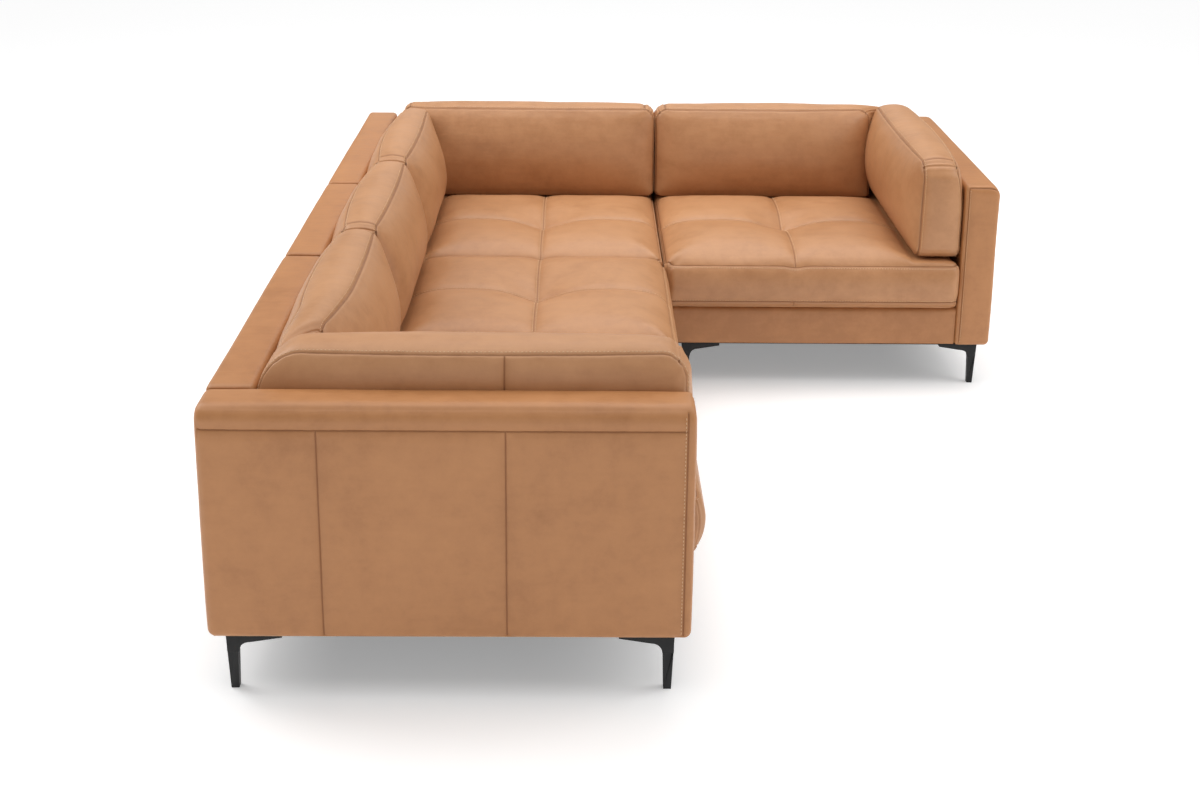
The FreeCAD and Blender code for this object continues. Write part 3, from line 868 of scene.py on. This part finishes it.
# Back and arm cushions: a runs along the cushion, b up and c from the cover towards the sitter,
# so the low panel leans on the rail and the high panel faces the sitter
uprightValues = {
    "step": 0.0085,
    "clothStep": 0.012,
    "thickness": 0.100,
    "edge": 0.009,
    "topCorner": 0.040,
    "lowCorner": 0.026,
    "bulge": 0.044,            # how far the front face swells between its seams
    "backHollow": 0.012,       # dip of the rear face above the rail
    "frontBow": 0.012,         # the front top seam bows towards the sitter
    "backBow": 0.024,          # the rear top seam bows over the rail
    "crown": 0.014,
    "lift": 0.002,
    "meet": 0.036,             # stretch that closes the space up to an arm cushion
    "earThickness": 0.016,     # of an ear pushed in behind the arm cushion
    "earThinning": 0.026,
    "pressedRun": 0.20,
    "railTop": 0.60,           # share of the height where the cushion leaves the rail
    "clearRun": 0.03,          # run over which leather comes free of its seams
    "waves": ((0.13, 11, 0.0015), (0.04, 12, 0.0004)),
    "rowOffset": 0.0065,       # from a seam to the stitches beside it
    "pressure": 40.0,
}
backSection = {"foot": 0.176, "front": 0.132, "back": 0.052, "height": 0.300}
armSection = {"foot": 0.130, "front": 0.126, "back": 0.028, "height": 0.301}
armShape = {"section": armSection, "soft": 0.095, "panelSeam": 0.50, "flatStart": 0.13,
            "endSwell": 0.016, "lowEnd": 0.040, "topEnd": 0.052}
uprightPlans = {
    "left_back_cushion": {"along": unitY, "across": unitX, "section": backSection, "tone": 0.05,
                          "ear": ("start", 0.150, 0.036)},
    "middle_back_cushion": {"along": unitY, "across": unitX, "section": backSection, "tone": -0.06},
    "corner_left_back_cushion": {"along": unitY, "across": unitX, "section": backSection, "tone": 0.0,
                                 "ear": ("end", 0.070, -0.004)},
    "corner_rear_back_cushion": {"along": unitX, "across": -unitY, "section": backSection, "tone": -0.08,
                                 "flatStart": 0.17, "squeeze": 0.045, "crown": 0.006},
    "right_back_cushion": {"along": unitX, "across": -unitY, "section": backSection, "tone": -0.02,
                           "ear": ("end", 0.150, 0.026), "crown": 0.006, "lowEnd": 0.010},
    "left_arm_cushion": {"along": unitX, "across": unitY, "tone": 0.08, "plainBand": True} | armShape,
    "right_arm_cushion": {"along": -unitY, "across": -unitX, "tone": 0.04} | armShape,
}


def pressEnd(points, a, through, share, squeeze, values):
    # this end is pressed thinner and shorter by the cushion in front of it
    pressed = np.clip(1 - a / values["pressedRun"], 0, 1) ** 2 * share
    points[:, 2] -= squeeze * 0.6 * pressed * through
    points[:, 0] += squeeze * np.clip(1 - a / 0.12, 0, 1) * share


def pullEar(points, fromEnd, through, share, ear, values):
    # the upper back corner is pushed on behind the cushion beside it
    where, reach, sink = ear
    sign = -1 if where == "start" else 1
    pull = np.clip(1 - fromEnd / 0.11, 0, 1) ** 1.5 * np.clip((share - 0.70) / 0.26, 0, 1)
    if reach > 0.1:
        points[:, 2] -= values["earThinning"] * np.clip(1 - fromEnd / 0.25, 0, 1) ** 2 * through * share
        nearEnd = np.clip(1 - fromEnd / 0.12, 0, 1) * np.clip(share / 0.03, 0, 1)
        points[:, 0] += sign * values["meet"] * nearEnd
        pull = pull * np.clip(1 - through / 0.8, 0, 1) ** 0.8
        points[:, 2] += (values["earThickness"] - points[:, 2]) * 0.8 * pull
    points[:, 0] += sign * pull * reach
    points[:, 1] -= pull ** 2 * sink


def shapeUpright(form, plan, values):
    points = form["shaped"].copy()
    section, railTop = plan["section"], values["railTop"]
    sizeA, sizeB, sizeC = form["size"]
    a, b, c = form["shaped"].T
    share = np.clip(b / sizeB, 0, 1)
    through = c / sizeC
    middle = 1 - (2 * a / sizeA - 1) ** 2
    ends = np.clip(1 - np.abs(2 * a / sizeA - 1) ** 5, 0, 1) ** 0.75
    if "flatStart" in plan:
        ends = ends * rise(a - 0.02, plan["flatStart"])
    lean = np.clip((share - railTop + 0.08) / (1.08 - railTop), 0, 1)
    upper = share ** 4
    back = section["back"] * lean ** 1.6 + 0.0006 - values["backBow"] * middle * upper
    front = section["front"] + (section["foot"] - section["front"]) * (1 - share)
    front = front + values["frontBow"] * middle * upper
    points[:, 2] = back + through * (front - back)
    bulge = values["bulge"] * np.sin(math.pi * share) ** 0.62 * (1.15 - 0.3 * share) * ends
    points[:, 2] += bulge * panelMask(form, "high") * np.clip((through - 0.9) / 0.1, 0, 1)
    clear = np.clip((share - railTop) / (1 - railTop), 0, 1)
    points[:, 2] -= values["backHollow"] * np.sin(math.pi * clear) * ends * panelMask(form, "low")
    dome = np.sin(math.pi * np.clip(through, 0, 1))
    crown = plan.get("crown", values["crown"]) * dome ** 0.8
    points[:, 1] += crown * share ** 8 * (0.5 + 0.5 * ends) + values["lift"] * middle * upper
    if "endSwell" in plan:
        atEnd = np.clip((a - sizeA + 0.02) / 0.02, 0, 1)
        points[:, 0] += plan["endSwell"] * atEnd * dome ** 0.7 * np.sin(math.pi * share) ** 0.5
    if "squeeze" in plan:
        pressEnd(points, a, through, share, plan["squeeze"], values)
    if "ear" in plan:
        fromEnd = a if plan["ear"][0] == "start" else sizeA - a
        pullEar(points, fromEnd, through, share, plan["ear"], values)
    return points


def heldUpright(form, values):
    # 1 where seams or the rail hold the leather, 0 where it blows up
    sizeA, sizeB, sizeC = form["size"]
    clear = values["clearRun"]
    held = np.ones(len(form["shaped"]))
    index, a, b = facePlaces(form, "high")
    rim = np.minimum(np.minimum(a, sizeA - a), np.minimum(b, sizeB - b))
    held[index] = 1 - rise(rim, clear)
    index, a, b = facePlaces(form, "low")
    rim = np.minimum(np.minimum(a, sizeA - a), sizeB - b)
    held[index] = 1 - rise(rim, clear) * rise(b - values["railTop"] * sizeB - 0.02, clear)
    index, p, c = facePlaces(form, "band")
    onTop = rise(p - sizeA - sizeB - clear, 0.05) * rise(2 * sizeA + sizeB - clear - p, 0.05)
    held[index] = np.minimum(held[index], 1 - onTop * rise(c, 0.02) * rise(sizeC - c, 0.02))
    return held


def bandJoins(sizeA, sizeB, plan, values):
    # where the band is sewn together, unless that end is an ear or is out of sight
    if "plainBand" in plan:
        return []
    inset = values["topCorner"] * 0.3 + 0.02
    joins = {"start": 2 * sizeA + sizeB - inset, "end": sizeA + sizeB + inset}
    joins.pop(plan.get("ear", ("",))[0], None)
    return list(joins.values())


def makeUpright(node, plan, values):
    low, high = nodeBox(node)
    sizeA, = nodeSize(node, plan["along"])
    size = (sizeA, plan["section"]["height"], values["thickness"])
    corner = low.copy()
    for direction in (plan["along"], plan["across"]):
        for axis in (0, 1):
            if direction[axis] < 0:
                corner[axis] = high[axis]
    _, sizeB, sizeC = size
    topCorner, lowCorner = values["topCorner"], values["lowCorner"]
    corners = (lowCorner, plan.get("lowEnd", lowCorner),
               plan.get("topEnd", topCorner), plan.get("soft", topCorner))
    edges = (values["edge"], values["edge"])
    axes = (plan["along"], unitZ, plan["across"])
    panelSeams = (plan["panelSeam"],) if "panelSeam" in plan else ()
    fine = fineForm(size, values["step"], (panelSeams, (), ()), corners, edges)
    points = layIn(shapeUpright(fine, plan, values), corner, *axes)
    coarse = coarseForm(size, values["clothStep"], corners, edges)
    start = layIn(shapeUpright(coarse, plan, values), corner, *axes)
    points = blowUp(node, points, fine, coarse, start, heldUpright(coarse, values), values["pressure"])
    faces = outward(points, fine["faces"])
    rims = [("high", "rim", 0, 0, 0), ("low", "rim", 0, 0, 0)]
    distance = seamDistance(fine, rims)
    normals = normalsOf(points, faces)
    above = np.clip((points[:, 2] - corner[2] - 0.03) / 0.05, 0, 1)
    points += normals * (above * rise(distance, 0.05) * unevenness(points, values["waves"]))[:, None]
    folded = [(sizeA, sizeB), (sizeA, 0.0)] if "soft" in plan else [(0.0, sizeB), (sizeA, sizeB)]
    points = pucker(fine, points, faces, folded, puckerValues)
    seams = rims + [("band", "u", join, 0.0, sizeC) for join in bandJoins(sizeA, sizeB, plan, values)]
    seams += [("low", "u", place, values["railTop"] * sizeB, sizeB) for place in panelSeams]
    points, crease = sewSeams(fine, points, faces, seams)
    piece = meshPiece(pieceName(node), points, faces, cushionLeather, node,
                      crease, plan["tone"], (node,))
    offset = values["rowOffset"]
    stitchAlong(node, fine, points, faces, [
        ("band", "v", sizeC - offset, sizeA * 0.98, 2 * sizeA + 2 * sizeB),
        ("band", "v", offset, sizeA * 0.98, 2 * sizeA + 2 * sizeB),
    ])


for node, plan in uprightPlans.items():
    makeUpright(node, plan, uprightValues)
print("back and arm cushions made")


# Leather covers of arms, backs and bases: soft boxes drawn over the frame,
# a from the outer face inwards, b up and c along the rail
coverValues = {
    "step": 0.011,
    "edge": 0.014,
    "jointEdge": 0.018,
    "sideSeam": 0.456,        # height of the seam along the outer faces, above the underside
    "frontSeam": 0.016,       # wrap of an arm's front panel onto its outer face
    "armSeams": (0.237, 0.607),    # upright seams of an arm's outer face, from the back
    "swell": 0.0028,
    "waves": ((0.20, 21, 0.0007), (0.05, 22, 0.00018)),
}


def faceSwell(place, size):
    return np.clip(1 - np.abs(2 * place / size - 1) ** 4, 0, 1)


def shapeCover(form, swell, free):
    # the large faces stand out a little between their edges
    points = form["shaped"].copy()
    for face, axis, sign in free:
        others = [(points[:, k], form["size"][k]) for k in range(3) if k != axis]
        amount = swell * faceSwell(*others[0]) * faceSwell(*others[1])
        side = form["size"][axis] if sign > 0 else 0.0
        near = np.abs(points[:, axis] - side) < 0.006
        points[:, axis] += np.where(near, sign * amount, 0.0)
    return points


def makeCover(name, node, body, corner, axes, size, corners, edges, seams, stitches, free, tone, values):
    sizeA, sizeB, sizeC = size
    marksC = [value for face, kind, value, *_ in seams if face == "band" and kind == "v"]
    around = [value for face, kind, value, *_ in seams if face == "band" and kind == "u"]
    marksB = [value - sizeA for value in around if sizeA < value < sizeA + sizeB]
    marksB += [2 * sizeA + 2 * sizeB - value for value in around if value > 2 * sizeA + sizeB]
    marksA = [value for face, kind, value, *_ in seams if face == "high" and kind == "u"]
    fine = fineForm(size, values["step"], (marksA, marksB, marksC), corners, edges)
    points = layIn(shapeCover(fine, values["swell"], free), corner, *axes)
    faces = outward(points, fine["faces"])
    points += normalsOf(points, faces) * unevenness(points, values["waves"])[:, None]
    points, crease = sewSeams(fine, points, faces, seams)
    piece = meshPiece(name, points, faces, coverLeather, body, crease, tone, (node,))
    stitchAlong(body, fine, points, faces, stitches)


def makeArm(module, outerCorner, inward, forward, tone, values):
    node = module + "_arm_cover"
    size = nodeSize(node, inward, unitZ, forward)
    sizeA, sizeB, sizeC = size
    outerLow = 2 * sizeA + 2 * sizeB
    seamAt = outerLow - values["sideSeam"]
    topOuter = 2 * sizeA + sizeB
    edge = values["edge"]
    seams = [
        ("band", "u", seamAt, 0.0, sizeC - values["frontSeam"]),
        *(("band", "v", place, seamAt, outerLow) for place in values["armSeams"]),
        ("band", "v", sizeC - values["frontSeam"], topOuter, outerLow),
        ("high", "u", sizeA - 0.010, 0.0, sizeB - 0.004),
        ("high", "v", sizeB - 0.003, 0.0, sizeA - 0.010),
    ]
    stitches = [
        ("band", "v", sizeC - values["frontSeam"] - 0.0045, topOuter + 0.01, outerLow - 0.01),
        ("high", "u", sizeA - 0.0145, 0.01, sizeB - 0.012),
    ]
    free = [("band", 0, -1), ("band", 1, 1), ("high", 2, 1), ("low", 2, -1)]
    corners = (edge * 1.2, edge * 0.7, edge, edge * 2.3)
    makeCover(module + "ArmCover", node, module, outerCorner, (inward, unitZ, forward), size,
              corners, (edge * 1.3, edge), seams, stitches, free, tone, values)


def makeBack(node, body, outerCorner, inward, along, endEdges, tone, values):
    size = nodeSize(node, inward, unitZ, along)
    sizeA, sizeB, sizeC = size
    outerLow = 2 * sizeA + 2 * sizeB
    seamAt = outerLow - values["sideSeam"]
    seams = [("band", "u", seamAt, 0.0, sizeC), ("band", "v", sizeC / 2, seamAt, outerLow)]
    # the joint ends are sewn round; their dark seam lines and the painted shade beside them darken where the
    # modules meet
    jointFaces = [face for face, edge in zip(("low", "high"), endEdges) if edge == values["jointEdge"]]
    seams += [(face, "rim", 0, 0, 0) for face in jointFaces]
    edge = values["edge"]
    makeCover(pieceName(node), node, body, outerCorner, (inward, unitZ, along), size,
              (edge * 0.5, edge * 0.7, edge, edge), endEdges, seams, [],
              [("band", 0, -1), ("band", 1, 1)], tone, values)


def makeBase(module, backCorner, depth, along, tone, values):
    node = module + "_base_cover"
    size = nodeSize(node, depth, unitZ, along)
    edge = values["edge"]
    makeCover(module + "BaseCover", node, module, backCorner, (depth, unitZ, along), size,
              (0.003, edge * 0.6, edge, 0.003), (0.004, 0.004), [], [], [("band", 0, 1)], tone, values)


leftArmLow, _ = nodeBox("left_arm_cover")
rightArmLow, rightArmHigh = nodeBox("right_arm_cover")
makeArm("left", leftArmLow, unitY, unitX, 0.0, coverValues)
makeArm("right", (rightArmHigh[0], rightArmHigh[1], rightArmLow[2]), -unitX, -unitY, -0.05, coverValues)
joint, outer = coverValues["jointEdge"], coverValues["edge"]
for node, body, ends, tone in (("left_back_cover", "left", (joint, joint), 0.03),
                               ("middle_back_cover", "middle", (joint, joint), -0.04),
                               ("corner_left_back_cover", "corner", (joint, outer), 0.0)):
    low, _ = nodeBox(node)
    makeBack(node, body, low, unitX, unitY, ends, tone, coverValues)
for node, body, tone in (("corner_rear_back_cover", "corner", 0.02), ("right_back_cover", "right", -0.03)):
    low, high = nodeBox(node)
    makeBack(node, body, (low[0], high[1], low[2]), -unitY, unitX, (joint, joint), tone, coverValues)
# the base covers, the right one too, get a dark tone: painted shade, as they stand back under the seats
for module, tone in (("left", -0.50), ("middle", -0.52), ("corner", -0.54)):
    low, _ = nodeBox(module + "_base_cover")
    makeBase(module, low, unitX, unitY, tone, coverValues)
low, high = nodeBox("right_base_cover")
makeBase("right", (low[0], high[1], low[2]), -unitY, unitX, -0.52, coverValues)
print("arm, back and base covers made")


# Top-stitching: a stitch on every point of the resampled seam lines
stitchValues = {"pitch": 0.0082, "length": 0.0056, "thickness": 0.0020}


def stitchTree(material):
    tree = bpy.data.node_groups.new("stitches", "GeometryNodeTree")
    tree.interface.new_socket("Geometry", in_out="INPUT", socket_type="NodeSocketGeometry")
    for name in ("Pitch", "Length", "Thickness"):
        tree.interface.new_socket(name, in_out="INPUT", socket_type="NodeSocketFloat")
    tree.interface.new_socket("Geometry", in_out="OUTPUT", socket_type="NodeSocketGeometry")
    add, link = tree.nodes.new, tree.links.new
    given, result = add("NodeGroupInput"), add("NodeGroupOutput")
    curve = add("GeometryNodeMeshToCurve")
    link(given.outputs["Geometry"], curve.inputs[0])
    evenly = add("GeometryNodeResampleCurve")
    evenly.mode = "LENGTH"
    link(curve.outputs[0], evenly.inputs["Curve"])
    link(given.outputs["Pitch"], evenly.inputs["Length"])
    bead = add("GeometryNodeMeshIcoSphere")
    bead.inputs["Radius"].default_value = 0.5
    bead.inputs["Subdivisions"].default_value = 1
    size = add("ShaderNodeCombineXYZ")
    link(given.outputs["Thickness"], size.inputs["X"])
    link(given.outputs["Thickness"], size.inputs["Y"])
    link(given.outputs["Length"], size.inputs["Z"])
    tangent = add("GeometryNodeInputTangent")
    turn = add("FunctionNodeAlignRotationToVector")
    turn.axis = "Z"
    link(tangent.outputs[0], turn.inputs["Vector"])
    place = add("GeometryNodeInstanceOnPoints")
    link(evenly.outputs[0], place.inputs["Points"])
    link(bead.outputs["Mesh"], place.inputs["Instance"])
    link(turn.outputs[0], place.inputs["Rotation"])
    link(size.outputs[0], place.inputs["Scale"])
    real = add("GeometryNodeRealizeInstances")
    link(place.outputs[0], real.inputs[0])
    coat = add("GeometryNodeSetMaterial")
    coat.inputs["Material"].default_value = material
    link(real.outputs[0], coat.inputs["Geometry"])
    link(coat.outputs[0], result.inputs[0])
    return tree


def runTree(source, tree, inputs):
    modifier = source.modifiers.new("nodes", "NODES")
    modifier.node_group = tree
    for item in tree.interface.items_tree:
        if item.in_out == "INPUT" and item.name in inputs:
            modifier[item.identifier] = inputs[item.name]
    bpy.context.view_layer.update()
    shown = source.evaluated_get(bpy.context.evaluated_depsgraph_get())
    mesh = bpy.data.meshes.new_from_object(shown)
    bpy.data.objects.remove(source)
    return mesh


def edgeObject(name, lines):
    points, edges = [], []
    for line in lines:
        start = len(points)
        points += line.tolist()
        edges += [(start + number, start + number + 1) for number in range(len(line) - 1)]
    mesh = bpy.data.meshes.new(name)
    mesh.from_pydata(points, edges, [])
    return addObject(name, mesh)


tree = stitchTree(tanThread)
for body, lines in stitchLines.items():
    source = edgeObject("seamLines", lines)
    mesh = runTree(source, tree, {key.capitalize(): value for key, value in stitchValues.items()})
    mesh.name = pieceName(body) + "Stitches"
    stitches = addObject(mesh.name, mesh)
    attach(stitches, body)


# Legs: the cast legs with their edges eased
legValues = {"ease": 0.0012, "weldDistance": 1e-5, "flatAngle": 1.5, "smoothAngle": 35}    # angles in degrees


def makeLegs(values):
    for node, original in nodes.items():
        if "_leg_" not in node or node.endswith("bolts"):
            continue
        work = bmesh.new()
        work.from_mesh(original.data)
        bmesh.ops.remove_doubles(work, verts=work.verts, dist=values["weldDistance"])
        flat = math.radians(values["flatAngle"])
        bmesh.ops.dissolve_limit(work, angle_limit=flat, verts=work.verts, edges=work.edges)
        sharp = [edge for edge in work.edges if len(edge.link_faces) == 2 and edge.calc_face_angle() > 0.5]
        bmesh.ops.bevel(work, geom=sharp, offset=values["ease"], segments=2, profile=0.5, affect="EDGES",
                        clamp_overlap=True)
        bmesh.ops.triangulate(work, faces=work.faces)
        bmesh.ops.recalc_face_normals(work, faces=work.faces)
        mesh = bpy.data.meshes.new(pieceName(node))
        work.to_mesh(mesh)
        work.free()
        mesh.polygons.foreach_set("use_smooth", np.ones(len(mesh.polygons), bool))
        mesh.set_sharp_from_angle(angle=math.radians(values["smoothAngle"]))
        mesh.materials.append(legBlack)
        leg = addObject(pieceName(node), mesh)
        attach(leg, node.split("_")[0])
        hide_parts(node)


makeLegs(legValues)

# Pieces that stay as they are, with their finishes
hiddenFinishes = {"_frame": framePine, "_webbing": strapWebbing, "_dust_cover": dustCloth,
                  "_leg_bolts": zincSteel, "_joint_": zincSteel}
for node, piece in nodes.items():
    for part, finish in hiddenFinishes.items():
        if part in node:
            piece.data.materials.clear()
            piece.data.materials.append(finish)
print("legs and hidden pieces finished")


# Floor and light
studioValues = {
    "floorTone": (0.90, 0.90, 0.90),
    "floorGlow": 0.27,
    "world": (1.0, 1.0, 1.0),
    "worldStrength": 0.30,
    "overhead": {"strength": 1.5, "spread": 70, "tilt": (-6, 0)},
    "leftBox": {"place": (-3.6, 0.6, 3.1), "aim": (0.4, 0.3, 0.4), "size": 2.6, "power": 86.0},
    "rightBox": {"place": (3.4, -0.4, 2.9), "aim": (-0.5, 0.2, 0.4), "size": 2.6, "power": 58.0},
    "topPanel": {"place": (0.3, 1.6, 3.2), "aim": (0.3, 1.4, 0.4), "size": 2.5, "power": 24.0},
    "backPanel": {"place": (0.0, 4.6, 1.5), "aim": (0.0, 0.0, 0.5), "size": 3.2, "power": 12.0},
    "fill": {"place": (-0.3, -4.6, 1.5), "aim": (-0.2, -1.3, 0.4), "size": 2.0, "power": 9.0},
}


def addLight(name, values):
    data = bpy.data.lights.new(name, "AREA")
    data.shape = "SQUARE"
    data.size = values["size"]
    data.energy = values["power"]
    light = addObject(name, data)
    direction = Vector(values["aim"]) - Vector(values["place"])
    light.rotation_euler = direction.to_track_quat("-Z", "Y").to_euler()
    light.location = values["place"]
    light.visible_camera = False


def addOverhead(values):
    data = bpy.data.lights.new("overhead", "SUN")
    data.energy = values["strength"]
    data.angle = math.radians(values["spread"])
    light = addObject("overhead", data)
    light.rotation_euler = [math.radians(turn) for turn in values["tilt"]] + [0.0]
    light.location = (0, 0, 5)


def addFloor(values):
    finish = Finish("paleFloor")
    finish.feed("Base Color", (*values["floorTone"], 1.0))
    finish.feed("Roughness", 0.9)
    finish.feed("Emission Color", (1.0, 1.0, 1.0, 1.0))
    finish.feed("Emission Strength", values["floorGlow"])
    bpy.ops.mesh.primitive_plane_add(size=40)
    floor = bpy.context.object
    floor.name = "floor"
    floor.data.materials.append(finish.material)
    world = bpy.data.worlds.new("studio")
    world.use_nodes = True
    background = world.node_tree.nodes["Background"]
    background.inputs[0].default_value = (*values["world"], 1)
    background.inputs[1].default_value = values["worldStrength"]
    bpy.context.scene.world = world


addFloor(studioValues)
addOverhead(studioValues["overhead"])
for box in ("leftBox", "rightBox", "topPanel", "backPanel", "fill"):
    addLight(box, studioValues[box])
print("studio made")

bpy.context.view_layer.update()
